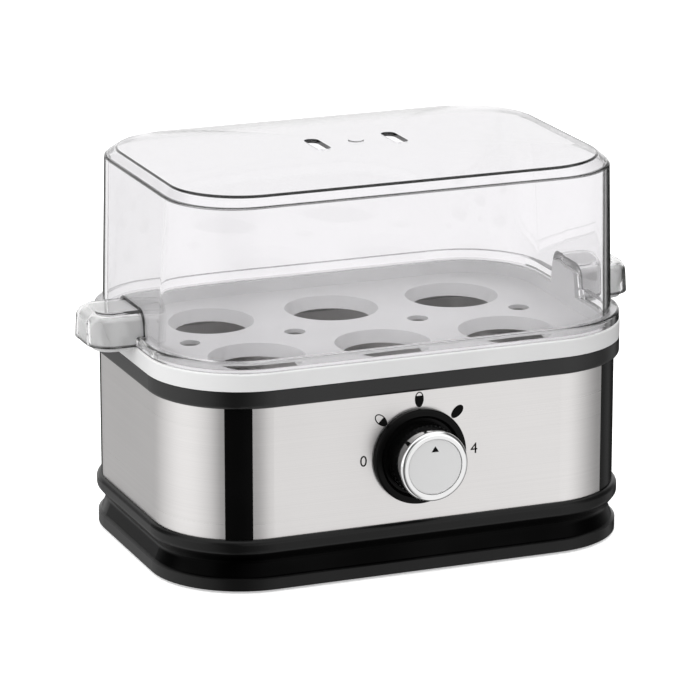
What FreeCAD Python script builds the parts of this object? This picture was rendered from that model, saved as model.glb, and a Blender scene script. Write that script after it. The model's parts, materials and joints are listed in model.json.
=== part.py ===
import FreeCAD, Part
import math
import os

# Electric cooker for six eggs: a steel-clad heating base with a water pan, an egg tray that stands on it
# and a clear lid. X runs along the front, Y away from the user and Z up. Millimetres and degrees.

# Egg grid, and the room round it that sets the size of the body
egg_pitch_x = 50.0
egg_pitch_y = 52.0
end_margin = 43.0
side_margin = 38.0
corner_radius = 36.1

# Heights of the stacked pieces, from the table up
foot_proud = 1.0
plinth_height = 19.4
panel_height = 49.7
collar_height = 6.7
band_height = 7.0
lid_wall_height = 59.8
lid_shoulder_height = 3.5
lid_dome_rise = 3.0

# General clearances and cutting overrun
seat_gap = 0.2
slide_gap = 0.6
fit_gap = 0.05
overrun = 1.0

# Plinth: foot, sloping waist and rounded flange
foot_inset = 0.7
foot_height = 4.3
foot_slope = 1.1
foot_slope_height = 0.7
waist_inset = 3.9
waist_height = 10.2
waist_round = 2.0
flange_inset = 0.2
flange_low = 14.8
flange_round = 1.8
plinth_wall = 2.4
plinth_shelf_width = 10.0
plinth_shelf = 2.0

# Housing shell and the steel skin in front of it
skin_inset = 2.0
skin_thickness = 0.6
shell_wall = 2.4
shell_ledge_width = 10.0
shell_ledge = 2.0
boss_radius = 4.5
boss_height = 34.0

# Corner pillars: angles from the front or rear panel's normal, round the corner's centre
front_left_pillar_angles = (13.4, 30.6)
front_right_pillar_angles = (34.5, 70.0)
rear_left_pillar_angles = (57.0, 82.0)
rear_right_pillar_angles = (39.0, 60.0)

# Collar ring and the joint between collar, seal and pan
collar_width = 11.0
collar_round = 1.6
rebate_wall = 0.6
rebate_gap = 0.3
pan_sheet = 0.8
pan_inset = 13.0
pan_depth = 11.0
pan_round = 4.0
seal_thickness = 1.4

# Egg tray
tray_wall = 1.6
rim_width = 7.0
rim_round = 0.8
tray_floor_drop = 4.8
locating_depth = 3.3
seat_top_radius = 18.0
seat_hole_radius = 15.5
seat_depth = 4.5
steam_hole_radius = 4.0
steam_hole_out = 17.0

# Lid
lid_wall = 2.0
lid_rim_inset = 0.3
lid_rim_height = 3.6
lid_rim_round = 1.0
lid_foot_inset = 3.4
lid_draft = 2.4
lid_top_radius = 27.0
lid_shoulder_width = 3.6
lid_crown_radius = 27.0
dome_outline_shares = (1.0, 0.8, 0.5, 0.18)
dome_rise_shares = (0.0, 0.5, 0.88, 1.0)
vent_spacing = 31.0
vent_length = 17.5
vent_width = 5.6
gate_radius = 3.0
gate_height = 0.4

# Handles: the lid's hollow hoods and the tray's ears below them
hood_reach = 16.0
hood_half_width = 15.0
hood_height = 12.2
hood_draft = 1.6
hood_plan_radius = 9.0
hood_outer_radius = 5.0
hood_side_radius = 4.2

# Knob, bezel and control
bezel_radius = 18.1
bezel_proud = 2.4
bezel_edge = 0.8
bezel_dish_radius = 14.6
bezel_dish = 1.0
bezel_web = 1.0
knob_radius = 13.5
knob_gap = 0.5
knob_skirt_depth = 5.6
knob_wall = 1.6
knob_rib_count = 48
knob_rib_depth = 0.45
knob_total = 15.5
ring_radius = 13.3
ring_round = 1.5
cap_radius = 10.6
cap_thickness = 1.6
cap_round = 0.5
cap_recess = 0.3
spindle_radius = 3.0
spindle_flat = 1.2
clip_sheet = 0.4
clip_slot = 2.0
hub_wall = 1.8
bush_radius = 5.0
nut_across = 13.0
nut_thickness = 2.4
control_half_x = 16.0
control_half_z = 9.0
control_depth = 15.0
control_round = 2.0
control_tab_width = 4.8
control_tab_length = 5.0
control_tab_sheet = 0.8
control_tab_spacing = 14.0

# Heater under the pan
element_ring_radius = 28.0
element_radius = 3.3
element_gap_angle = 80.0
element_run = 6.0
element_bend = 6.0
element_leg = 9.0
element_pin_radius = 1.2
element_pin_length = 5.0
heater_rim = 10.0
heater_thickness = 4.0
groove_depth = 2.5
stud_inset = 6.2
stud_radius = 2.0
stud_count = 3
first_stud_share = 0.75
shield_sheet = 0.8
shield_clear = 3.0
shield_drop = 6.0
shield_rim = 5.0
stud_nut_across = 7.0
stud_nut_height = 3.0

# Feeler, fuse and their straps
bulb_radius = 3.0
bulb_length = 44.0
bulb_x_gap = 9.0
capillary_radius = 0.9
strap_sheet = 0.8
strap_width = 9.0
strap_foot = 5.0
fuse_radius = 2.2
fuse_length = 12.0
fuse_offset = 5.0

# Wiring
block_half_x = 17.0
block_half_y = 9.0
block_height = 13.0
block_pole_count = 3
block_pole_radius = 2.6
block_inset_y = 6.0
lead_radius = 1.1
lead_lift = 3.0
tag_radius = 4.0
tag_sheet = 1.0
tag_tail = 5.0

# Bottom cover, feet and screws
cover_lift = 1.2
cover_thickness = 2.0
cover_gap = 0.3
cover_slot_count = 7
cover_slot_pitch = 9.0
cover_slot_width = 3.2
cover_slot_length = 30.0
foot_pad_radius = 6.5
foot_pad_in_x = 14.0
foot_pad_in_y = 11.0
foot_stem_radius = 2.4
screw_radius = 1.5
screw_head_radius = 3.1
screw_head_height = 2.0
screw_recess = 0.4
screw_bite = 16.0
collar_screw_radius = 1.3
collar_screw_head_radius = 2.0
collar_screw_head_height = 1.7
collar_screw_bite = 4.0
collar_screw_x = 40.0

# Cord gland in the rear wall
gland_x = 45.0
gland_height = 12.0
gland_bore = 3.3
gland_wall = 2.4
gland_flange = 2.0
gland_flange_thickness = 1.8
gland_inner = 4.0

# Places that follow from the sizes above
body_half_x = egg_pitch_x + end_margin
body_half_y = egg_pitch_y / 2 + side_margin
core_x = body_half_x - corner_radius
core_y = body_half_y - corner_radius
plinth_low = foot_proud
plinth_top = plinth_low + plinth_height
panel_top = plinth_top + panel_height
collar_top = panel_top + collar_height
tray_low = collar_top + seat_gap
rim_top = collar_top + band_height
tray_floor = rim_top - tray_floor_drop
tray_floor_low = tray_floor - tray_wall
lid_low = rim_top + seat_gap
lid_wall_top = lid_low + lid_wall_height
lid_shoulder_top = lid_wall_top + lid_shoulder_height
hood_top = lid_low + hood_height
skin_back = skin_inset + skin_thickness
shell_inside = skin_back + shell_wall
front_face = -(body_half_y - skin_inset)
front_inside = -(body_half_y - shell_inside)
rear_face = body_half_y - skin_inset
rear_inside = body_half_y - shell_inside
collar_screw_inset = shell_inside + collar_screw_head_radius + fit_gap
flange_rebate = collar_screw_inset + collar_screw_radius + rebate_wall
pan_flange_inset = flange_rebate + rebate_gap
pan_floor = panel_top - pan_depth
pan_underside = pan_floor - pan_sheet
heater_low = pan_underside - heater_thickness
element_z = heater_low + groove_depth - element_radius
heater_radius = element_ring_radius + heater_rim
shield_radius = element_ring_radius + element_radius + shield_clear
stud_circle = element_ring_radius - element_radius - stud_inset
shield_top = heater_low - shield_drop
knob_z = (plinth_top + panel_top) / 2
knob_back = front_face - (bezel_proud - bezel_dish) - knob_gap
knob_front = front_face - knob_total
cover_low = plinth_low + cover_lift
cover_top = cover_low + cover_thickness
shelf_low = plinth_top - plinth_shelf
boss_reach = corner_radius - waist_inset - plinth_wall - cover_gap - boss_radius
column_radius = corner_radius - shell_inside - boss_reach + fit_gap
boss_x = core_x + boss_reach * math.cos(math.pi / 4)
boss_y = core_y + boss_reach * math.sin(math.pi / 4)
gland_z = plinth_top + gland_height
gland_outer = rear_face + gland_flange_thickness
block_y = rear_inside - block_inset_y - block_half_y
bulb_x = heater_radius + bulb_x_gap
bulb_z = pan_underside - bulb_radius - fit_gap
fuse_z = heater_low - fuse_radius - fit_gap

# The origin is under the middle of the whole outline, with the knob in front and the gland behind
reach_front = -knob_front
reach_rear = max(gland_outer, body_half_y)
origin_y = (reach_rear - reach_front) / 2

X_AXIS = FreeCAD.Vector(1, 0, 0)
Y_AXIS = FreeCAD.Vector(0, 1, 0)
Z_AXIS = FreeCAD.Vector(0, 0, 1)
CORNERS = ((1, -1), (1, 1), (-1, 1), (-1, -1))


def vec(x, y, z):
    return FreeCAD.Vector(x, y, z)


def side_point(a, b):
    return vec(a, 0, b)


def plan_point(a, b):
    return vec(a, b, 0)


def end_point(a, b):
    return vec(0, a, b)


def rounded_wire(corners, point):
    """Closed wire through corners (a, b, radius), each corner rounded by its radius."""
    arrivals = []
    leavings = []
    edges = []
    count = len(corners)
    for index in range(count):
        a, b, radius = corners[index]
        here = point(a, b)
        if radius == 0:
            arrivals.append(here)
            leavings.append(here)
            continue
        before = corners[index - 1]
        after = corners[(index + 1) % count]
        to_before = (point(before[0], before[1]) - here).normalize()
        to_after = (point(after[0], after[1]) - here).normalize()
        half = to_before.getAngle(to_after) / 2
        reach = radius / math.tan(half)
        inward = (to_before + to_after).normalize()
        middle = here + inward * (radius / math.sin(half) - radius)
        arrivals.append(here + to_before * reach)
        leavings.append(here + to_after * reach)
        edges.append(Part.Arc(arrivals[-1], middle, leavings[-1]).toShape())
    for index in range(count):
        start = leavings[index]
        end = arrivals[(index + 1) % count]
        if (end - start).Length > fit_gap * fit_gap:
            edges.append(Part.LineSegment(start, end).toShape())
    return Part.Wire(Part.__sortEdges__(edges))


def face_of(corners, point):
    return Part.Face(rounded_wire(corners, point))


def around_body(profile):
    """Carries a profile of (inset, height, rounding) once round the body's rounded rectangle."""
    placed = [(corner_radius - inset, z, rounding) for inset, z, rounding in profile]
    face = face_of(placed, side_point)
    pieces = []
    for index, (sign_x, sign_y) in enumerate(CORNERS):
        centre = vec(sign_x * core_x, sign_y * core_y, 0)
        turn = 90 * index
        start = face.copy()
        start.rotate(vec(0, 0, 0), Z_AXIS, turn - 90)
        start.translate(centre)
        pieces.append(start.revolve(centre, Z_AXIS, 90))
        side = face.copy()
        side.rotate(vec(0, 0, 0), Z_AXIS, turn)
        side.translate(centre)
        length = 2 * core_y if index % 2 == 0 else 2 * core_x
        run = vec(0, length, 0) if index % 2 == 0 else vec(-length, 0, 0)
        pieces.append(side.extrude(run if index < 2 else run.negative()))
    return pieces[0].multiFuse(pieces[1:]).removeSplitter()


def outline(half_x, half_y, radius, z):
    corners = [(half_x, -half_y, radius), (half_x, half_y, radius)]
    corners += [(-half_x, half_y, radius), (-half_x, -half_y, radius)]
    wire = rounded_wire(corners, plan_point)
    wire.translate(vec(0, 0, z))
    return wire


def plate(inset, low, high):
    """Solid slab inside the body's outline."""
    wire = outline(body_half_x - inset, body_half_y - inset, corner_radius - inset, low)
    return Part.Face(wire).extrude(vec(0, 0, high - low))


def cylinder(radius, height, centre, axis=Z_AXIS):
    return Part.makeCylinder(radius, height, centre, axis)


def tube_ring(outer, inner, height, centre, axis=Z_AXIS):
    return cylinder(outer, height, centre, axis).cut(cylinder(inner, height, centre, axis))


def box_between(low, high):
    size = high - low
    return Part.makeBox(size.x, size.y, size.z, low)


def hexagon(across, thickness, centre, axis=Z_AXIS):
    corner = across / 2 / math.cos(math.pi / 6)
    points = []
    for index in range(7):
        angle = math.pi / 3 * index
        points.append(vec(corner * math.cos(angle), corner * math.sin(angle), 0))
    solid = Part.Face(Part.makePolygon(points)).extrude(vec(0, 0, thickness))
    solid.Placement = FreeCAD.Placement(centre, FreeCAD.Rotation(Z_AXIS, axis))
    return solid


def turned(profile, centre):
    """Solid turned about the knob's axis from (radius, distance in front of the centre, rounding)."""
    face = face_of(profile, side_point)
    solid = face.revolve(vec(0, 0, 0), Z_AXIS, 360)
    solid.Placement = FreeCAD.Placement(centre, FreeCAD.Rotation(Z_AXIS, Y_AXIS.negative()))
    return solid


def one_solid(shape):
    """The single solid of a shape, joined faces merged."""
    clean = shape.removeSplitter()
    return clean.Solids[0] if len(clean.Solids) == 1 else clean


def soft_tube(points, radius):
    """Tube along straight runs joined by the largest tangent arcs that they allow."""
    edges = []
    start = points[0]
    bend_share = 0.45
    for index in range(1, len(points) - 1):
        here = points[index]
        back = points[index - 1] - here
        ahead = points[index + 1] - here
        reach = bend_share * min(back.Length, ahead.Length)
        back.normalize()
        ahead.normalize()
        half = back.getAngle(ahead) / 2
        bend = reach * math.tan(half)
        inward = (back + ahead).normalize()
        middle = here + inward * (bend / math.sin(half) - bend)
        edges.append(Part.LineSegment(start, here + back * reach).toShape())
        edges.append(Part.Arc(here + back * reach, middle, here + ahead * reach).toShape())
        start = here + ahead * reach
    edges.append(Part.LineSegment(start, points[-1]).toShape())
    path = Part.Wire(edges)
    circle = Part.Wire(Part.makeCircle(radius, points[0], points[1] - points[0]))
    return path.makePipeShell([circle], True, False)


def pillar_wedge(corner, angles):
    """Wedge that cuts one pillar's angles out of a ring; angles count from the front or rear normal."""
    sign_x, sign_y = corner
    centre = vec(sign_x * core_x, sign_y * core_y, 0)
    far = 2 * corner_radius
    points = [centre]
    for angle in angles:
        turn = math.radians(angle)
        points.append(centre + vec(sign_x * far * math.sin(turn), sign_y * far * math.cos(turn), 0))
    points.append(centre)
    wedge = Part.Face(Part.makePolygon(points)).extrude(vec(0, 0, panel_top - plinth_top))
    wedge.translate(vec(0, 0, plinth_top))
    return wedge


def pillar_wedges():
    angles = (front_right_pillar_angles, rear_right_pillar_angles)
    angles += (rear_left_pillar_angles, front_left_pillar_angles)
    return [pillar_wedge(corner, pair) for corner, pair in zip(CORNERS, angles)]


def skin_ring():
    profile = [(skin_inset, plinth_top, 0), (skin_inset, panel_top, 0)]
    profile += [(skin_back, panel_top, 0), (skin_back, plinth_top, 0)]
    return around_body(profile)


def corner_places():
    return [(sign_x * boss_x, sign_y * boss_y) for sign_x, sign_y in CORNERS]


def collar_screw_places():
    side = body_half_y - collar_screw_inset
    end = body_half_x - collar_screw_inset
    places = [(sign_x * collar_screw_x, sign_y * side) for sign_x, sign_y in CORNERS]
    return places + [(end, 0), (-end, 0)]


def grip_form(side, inset, inner, low):
    """Handle form shared by hood and ear: rounded in plan, at its outer end and over its two sides."""
    reach = body_half_x + hood_reach - inset
    half = hood_half_width - inset
    top = hood_top - inset
    plan = [(inner, -half, 0), (reach, -half, hood_plan_radius - inset)]
    plan += [(reach, half, hood_plan_radius - inset), (inner, half, 0)]
    body = face_of(plan, plan_point).extrude(vec(0, 0, top - low))
    body.translate(vec(0, 0, low))
    profile = [(inner, low, 0), (reach, low, 0), (reach, top, hood_outer_radius - inset), (inner, top, 0)]
    length = face_of(profile, side_point).extrude(vec(0, 2 * half, 0))
    length.translate(vec(0, -half, 0))
    narrow = half - hood_draft
    section = [(-half, low, 0), (half, low, 0), (half, lid_low, 0)]
    section += [(narrow, top, hood_side_radius - inset), (-narrow, top, hood_side_radius - inset)]
    section += [(-half, lid_low, 0)]
    width = face_of(section, end_point).extrude(vec(reach - inner, 0, 0))
    width.translate(vec(inner, 0, 0))
    form = body.common(length).common(width)
    return form if side > 0 else form.mirror(vec(0, 0, 0), X_AXIS)


def base_plinth():
    low = plinth_low
    inner_waist = waist_inset + plinth_wall
    inner_foot = foot_inset + plinth_wall
    shelf_inset = skin_inset + plinth_shelf_width
    profile = [(foot_inset, low, 0), (foot_inset, low + foot_height, 0)]
    profile += [(foot_inset + foot_slope, low + foot_height + foot_slope_height, 0)]
    profile += [(waist_inset, low + waist_height, waist_round)]
    profile += [(flange_inset, low + flange_low, waist_round), (flange_inset, plinth_top, flange_round)]
    profile += [(shelf_inset, plinth_top, 0), (shelf_inset, shelf_low, 0), (inner_waist, shelf_low, 0)]
    profile += [(inner_waist, low + waist_height, 0)]
    profile += [(inner_foot, low + foot_height, 0), (inner_foot, low, 0)]
    plinth = around_body(profile)
    for x, y in corner_places():
        pad = cylinder(boss_radius, plinth_shelf, vec(x, y, shelf_low))
        hole = cylinder(screw_radius + fit_gap, plinth_shelf + 2 * overrun, vec(x, y, shelf_low - overrun))
        plinth = plinth.fuse(pad).cut(hole)
    return one_solid(plinth)


def housing_shell():
    ledge_inset = skin_inset + shell_ledge_width
    ledge_low = panel_top - shell_ledge
    profile = [(skin_back, plinth_top, 0), (skin_back, panel_top, 0), (ledge_inset, panel_top, 0)]
    profile += [(ledge_inset, ledge_low, 0), (shell_inside, ledge_low, 0), (shell_inside, plinth_top, 0)]
    shell = around_body(profile)
    ring = skin_ring()
    for wedge in pillar_wedges():
        shell = shell.fuse(ring.common(wedge))
    for x, y in corner_places():
        shell = shell.fuse(cylinder(column_radius, boss_height, vec(x, y, plinth_top)))
        pilot = vec(x, y, plinth_top - overrun)
        shell = shell.cut(cylinder(screw_radius + fit_gap, screw_bite + 2 * overrun, pilot))
    for x, y in collar_screw_places():
        hole = vec(x, y, ledge_low - overrun)
        shell = shell.cut(cylinder(collar_screw_radius + fit_gap, shell_ledge + 2 * overrun, hole))
    depth = shell_wall + 2 * overrun
    behind_front = vec(0, front_inside + overrun, knob_z)
    bush_hole = cylinder(bush_radius + fit_gap, depth, behind_front, Y_AXIS.negative())
    behind_rear = vec(gland_x, rear_inside - overrun, gland_z)
    gland_hole = cylinder(gland_bore + gland_wall, depth, behind_rear, Y_AXIS)
    return one_solid(shell.cut(bush_hole).cut(gland_hole))


def steel_panels():
    """The four steel wraps, keyed by the side that they cover."""
    ring = skin_ring()
    for wedge in pillar_wedges():
        ring = ring.cut(wedge)
    depth = skin_thickness + 2 * overrun
    knob_hole = vec(0, front_face - overrun, knob_z)
    ring = ring.cut(cylinder(bush_radius + fit_gap, depth, knob_hole, Y_AXIS))
    gland_hole = vec(gland_x, rear_face + overrun, gland_z)
    ring = ring.cut(cylinder(gland_bore + gland_wall, depth, gland_hole, Y_AXIS.negative()))
    panels = {}
    for solid in ring.Solids:
        centre = solid.CenterOfMass
        if abs(centre.y) * core_x > abs(centre.x) * core_y:
            name = "rear_panel" if centre.y > 0 else "front_panel"
        else:
            name = "right_panel" if centre.x > 0 else "left_panel"
        panels[name] = solid
    return panels


def top_collar():
    rebate_top = panel_top + pan_sheet + seal_thickness
    profile = [(0, panel_top, collar_round), (0, collar_top, 0), (collar_width, collar_top, 0)]
    profile += [(collar_width, rebate_top, 0), (flange_rebate, rebate_top, 0), (flange_rebate, panel_top, 0)]
    collar = around_body(profile)
    for x, y in collar_screw_places():
        hole = vec(x, y, panel_top - overrun)
        collar = collar.cut(cylinder(collar_screw_radius + fit_gap, collar_screw_bite + 2 * overrun, hole))
    return one_solid(collar)


def heating_pan():
    outer = plate(pan_inset, pan_underside, panel_top)
    inner = plate(pan_inset + pan_sheet, pan_floor, panel_top + overrun)
    outer = outer.makeFillet(pan_round + pan_sheet, edges_at(outer, pan_underside))
    inner = inner.makeFillet(pan_round, edges_at(inner, pan_floor))
    flange = plate(pan_flange_inset, panel_top, panel_top + pan_sheet)
    return one_solid(outer.fuse(flange).cut(inner))


def edges_at(shape, z):
    """Edges that lie wholly at one height."""
    flat = []
    for edge in shape.Edges:
        box = edge.BoundBox
        if abs(box.ZMin - z) < fit_gap and abs(box.ZMax - z) < fit_gap:
            flat.append(edge)
    return flat


def pan_seal():
    low = panel_top + pan_sheet
    high = low + seal_thickness
    inner = collar_width
    profile = [(pan_flange_inset, low, 0), (pan_flange_inset, high, 0), (inner, high, 0), (inner, low, 0)]
    return one_solid(around_body(profile))


def egg_places():
    return [(column * egg_pitch_x, row * egg_pitch_y / 2) for column in (-1, 0, 1) for row in (-1, 1)]


def egg_tray():
    under_rim = rim_top - tray_wall
    locate_out = collar_width + slide_gap
    locate_in = locate_out + tray_wall
    locate_low = collar_top - locating_depth
    profile = [(0, tray_low, 0), (0, rim_top, rim_round), (rim_width, rim_top, 0), (rim_width, tray_floor, 0)]
    profile += [(locate_in, tray_floor, 0), (locate_in, locate_low, 0), (locate_out, locate_low, 0)]
    profile += [(locate_out, tray_floor_low, 0), (rim_width - tray_wall, tray_floor_low, 0)]
    profile += [(rim_width - tray_wall, under_rim, 0), (tray_wall, under_rim, 0), (tray_wall, tray_low, 0)]
    tray = around_body(profile).fuse(plate(locate_out, tray_floor_low, tray_floor))
    seat_low = tray_floor - seat_depth
    for x, y in egg_places():
        low_radius = seat_hole_radius + tray_wall
        top_radius = seat_top_radius + tray_wall
        tray = tray.fuse(Part.makeCone(low_radius, top_radius, seat_depth, vec(x, y, seat_low)))
    for x, y in egg_places():
        dish = Part.makeCone(seat_hole_radius, seat_top_radius, seat_depth, vec(x, y, seat_low))
        through = cylinder(seat_hole_radius, seat_depth, vec(x, y, seat_low - overrun))
        tray = tray.cut(dish.fuse(through))
    steam_x = (egg_pitch_x / 2, egg_pitch_x + steam_hole_out)
    for x in steam_x + tuple(-place for place in steam_x):
        hole = vec(x, 0, tray_floor_low - overrun)
        tray = tray.cut(cylinder(steam_hole_radius, tray_wall + 2 * overrun, hole))
    root = body_half_x - rim_width
    inset = lid_wall + slide_gap
    for side in (-1, 1):
        ear = grip_form(side, inset, root, under_rim)
        hollow = grip_form(side, inset + tray_wall, root + tray_wall, under_rim - overrun)
        tray = tray.fuse(ear.cut(hollow))
    return one_solid(tray)


def lid_form(inset, low):
    """Tapered walls, shoulder and domed crown of the lid, drawn in by an inset."""
    crown_x = body_half_x - lid_foot_inset - lid_draft - lid_shoulder_width - inset
    crown_y = body_half_y - lid_foot_inset - lid_draft - lid_shoulder_width - inset
    foot_x = body_half_x - lid_foot_inset - inset
    foot_y = body_half_y - lid_foot_inset - inset
    foot_radius = corner_radius - lid_foot_inset - inset
    wall_x = foot_x - lid_draft
    wall_y = foot_y - lid_draft
    wall_radius = lid_top_radius - inset
    crown_radius = lid_crown_radius - inset
    crown_z = lid_shoulder_top - inset
    foot = outline(foot_x, foot_y, foot_radius, low)
    wall = outline(wall_x, wall_y, wall_radius, lid_wall_top - inset)
    crown = outline(crown_x, crown_y, crown_radius, crown_z)
    form = Part.makeLoft([foot, wall], True, True).fuse(Part.makeLoft([wall, crown], True, True))
    domes = []
    for outline_share, rise_share in zip(dome_outline_shares, dome_rise_shares):
        level = crown_z + lid_dome_rise * rise_share
        half_x = crown_x * outline_share
        half_y = crown_y * outline_share
        domes.append(outline(half_x, half_y, crown_radius * outline_share, level))
    return form.fuse(Part.makeLoft(domes, True, False))


def vent_slot(x):
    half = vent_width / 2
    end = vent_length / 2
    corners = [(x - half, -end, half - fit_gap), (x + half, -end, half - fit_gap)]
    corners += [(x + half, end, half - fit_gap), (x - half, end, half - fit_gap)]
    slot = face_of(corners, plan_point).extrude(vec(0, 0, lid_dome_rise + 2 * lid_wall + overrun))
    slot.translate(vec(0, 0, lid_shoulder_top - 2 * lid_wall))
    return slot


def lid_cover():
    rim_top_z = lid_low + lid_rim_height
    inner_wall = lid_foot_inset + lid_wall / 2
    profile = [(lid_rim_inset, lid_low, 0), (lid_rim_inset, rim_top_z, lid_rim_round)]
    profile += [(inner_wall, rim_top_z, 0), (inner_wall, lid_low, 0)]
    lid = lid_form(0, lid_low).fuse(around_body(profile))
    inside = body_half_x - lid_foot_inset - lid_wall - rim_width
    for side in (-1, 1):
        lid = lid.fuse(grip_form(side, 0, inside, lid_low))
    cavity = lid_form(lid_wall, lid_low)
    below = Part.makeLoft([outline_inside(lid_low - overrun), outline_inside(lid_low)], True, True)
    lid = lid.cut(cavity).cut(below)
    for side in (-1, 1):
        lid = lid.cut(grip_form(side, lid_wall, inside, lid_low - overrun))
    for x in (-vent_spacing / 2, vent_spacing / 2):
        lid = lid.cut(vent_slot(x))
    gate_low = vec(0, 0, lid_shoulder_top + lid_dome_rise - lid_wall / 2)
    gate = cylinder(gate_radius, lid_wall / 2 + gate_height, gate_low)
    return one_solid(lid.fuse(gate))


def outline_inside(z):
    inset = lid_foot_inset + lid_wall
    return outline(body_half_x - inset, body_half_y - inset, corner_radius - inset, z)


def heater_plate():
    disc = cylinder(heater_radius, heater_thickness, vec(0, 0, heater_low))
    return one_solid(disc.cut(element_tube(element_radius + fit_gap)))


def element_end(side):
    """End of the element's ring and the point where its straight run stops."""
    angle = math.radians(90 + side * element_gap_angle / 2)
    point = vec(element_ring_radius * math.cos(angle), element_ring_radius * math.sin(angle), element_z)
    run = vec(side * math.sin(angle), -side * math.cos(angle), 0)
    return point, point + run * element_run, run


def element_leg_place(side):
    _, corner, run = element_end(side)
    return corner + run * element_bend - vec(0, 0, element_bend)


def element_tube(radius):
    """Ring, straight runs, bends and legs of the element, as one tube."""
    start, start_corner, start_run = element_end(1)
    end, end_corner, end_run = element_end(-1)
    low = vec(0, 0, -element_bend)
    turn = math.sin(math.pi / 4) * element_bend
    drop = element_bend - turn
    edges = []
    leg = element_leg_place(1)
    leg_foot = leg - vec(0, 0, element_leg)
    edges.append(Part.LineSegment(leg_foot, leg).toShape())
    bend = start_corner + start_run * turn - vec(0, 0, drop)
    edges.append(Part.Arc(leg, bend, start_corner).toShape())
    edges.append(Part.LineSegment(start_corner, start).toShape())
    edges.append(Part.Arc(start, vec(0, -element_ring_radius, element_z), end).toShape())
    edges.append(Part.LineSegment(end, end_corner).toShape())
    bend = end_corner + end_run * turn - vec(0, 0, drop)
    edges.append(Part.Arc(end_corner, bend, end_corner + end_run * element_bend + low).toShape())
    leg = element_leg_place(-1)
    edges.append(Part.LineSegment(leg, leg - vec(0, 0, element_leg)).toShape())
    path = Part.Wire(edges)
    circle = Part.Wire(Part.makeCircle(radius, leg_foot, Z_AXIS))
    return path.makePipeShell([circle], True, False)


def heating_element():
    return element_tube(element_radius)


def pin_place(side):
    return element_leg_place(side) - vec(0, 0, element_leg + element_pin_length)


def element_pins():
    pins = [cylinder(element_pin_radius, element_pin_length, pin_place(side)) for side in (1, -1)]
    return Part.makeCompound(pins)


def stud_places():
    turns = [2 * math.pi * (index + first_stud_share) / stud_count for index in range(stud_count)]
    return [(stud_circle * math.cos(turn), stud_circle * math.sin(turn)) for turn in turns]


def plate_studs():
    low = shield_top - shield_sheet - stud_nut_height - overrun
    studs = [cylinder(stud_radius, heater_low - low, vec(x, y, low)) for x, y in stud_places()]
    return Part.makeCompound(studs)


def plate_nuts():
    nuts = []
    for x, y in stud_places():
        low = shield_top - shield_sheet - stud_nut_height
        nut = hexagon(stud_nut_across, stud_nut_height, vec(x, y, low))
        nuts.append(nut.cut(cylinder(stud_radius + fit_gap, stud_nut_height, vec(x, y, low))))
    return Part.makeCompound(nuts)


def heat_shield():
    low = shield_top - shield_sheet
    dish = cylinder(shield_radius, shield_sheet + shield_rim, vec(0, 0, low))
    dish = dish.cut(cylinder(shield_radius - shield_sheet, shield_rim, vec(0, 0, shield_top)))
    for x, y in stud_places():
        hole = vec(x, y, low - overrun)
        dish = dish.cut(cylinder(stud_radius + fit_gap, shield_sheet + 2 * overrun, hole))
    x, y = earth_lead_place()
    dish = dish.cut(cylinder(lead_radius + slide_gap, shield_sheet + 2 * overrun, vec(x, y, low - overrun)))
    leg = element_leg_place(-1)
    room = element_radius + shield_clear
    notch_low = vec(-leg.x - room, leg.y - room, low - overrun)
    notch_high = vec(leg.x + room, shield_radius + overrun, shield_top + shield_rim + overrun)
    return one_solid(dish.cut(box_between(notch_low, notch_high)))


def thermostat_body():
    centre = vec(0, front_inside, knob_z)
    low = centre - vec(control_half_x, 0, control_half_z)
    case = box_between(low, centre + vec(control_half_x, control_depth, control_half_z))
    upright = [edge for edge in case.Edges if abs(edge.BoundBox.YLength - control_depth) < fit_gap]
    case = case.makeFillet(control_round, upright)
    reach = front_inside - bush_front()
    bush = cylinder(bush_radius, reach, centre, Y_AXIS.negative())
    body = case.fuse(bush)
    for x in (-control_tab_spacing / 2, control_tab_spacing / 2):
        tab_low = vec(x - control_tab_width / 2, front_inside + control_depth, knob_z - control_tab_sheet / 2)
        tab_high = tab_low + vec(control_tab_width, control_tab_length, control_tab_sheet)
        body = body.fuse(box_between(tab_low, tab_high))
    bore_depth = reach + spindle_seat_depth() + overrun
    before_bush = vec(0, bush_front() - overrun, knob_z)
    bore = cylinder(spindle_radius + fit_gap, bore_depth, before_bush, Y_AXIS)
    return one_solid(body.cut(bore))


def bush_front():
    return front_face - bezel_web - nut_thickness - fit_gap


def spindle_seat_depth():
    return control_depth / 2


def spindle_tip():
    return knob_front + cap_recess + cap_thickness + knob_wall


def control_spindle():
    start = front_inside + spindle_seat_depth() - slide_gap
    length = start - spindle_tip()
    shaft = cylinder(spindle_radius, length, vec(0, start, knob_z), Y_AXIS.negative())
    flat_low = vec(-spindle_radius, spindle_tip() - overrun, knob_z - spindle_radius - overrun)
    flat_high = vec(spindle_radius, hub_back(), knob_z - spindle_radius + spindle_flat)
    return one_solid(shaft.cut(box_between(flat_low, flat_high)))


def hub_back():
    return bush_front() - slide_gap


def hub_bore():
    return spindle_radius + 2 * fit_gap + clip_sheet


def knob_clip():
    length = hub_back() - spindle_tip()
    centre = vec(0, hub_back(), knob_z)
    sleeve = tube_ring(hub_bore() - fit_gap, spindle_radius + fit_gap, length, centre, Y_AXIS.negative())
    slot_low = vec(-clip_slot / 2, spindle_tip() - overrun, knob_z)
    slot_high = vec(clip_slot / 2, hub_back() + overrun, knob_z + hub_bore() + overrun)
    return one_solid(sleeve.cut(box_between(slot_low, slot_high)))


def thermostat_nut():
    centre = vec(0, front_face - bezel_web, knob_z)
    nut = hexagon(nut_across, nut_thickness, centre, Y_AXIS.negative())
    return one_solid(nut.cut(cylinder(bush_radius + fit_gap, nut_thickness, centre, Y_AXIS.negative())))


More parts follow.
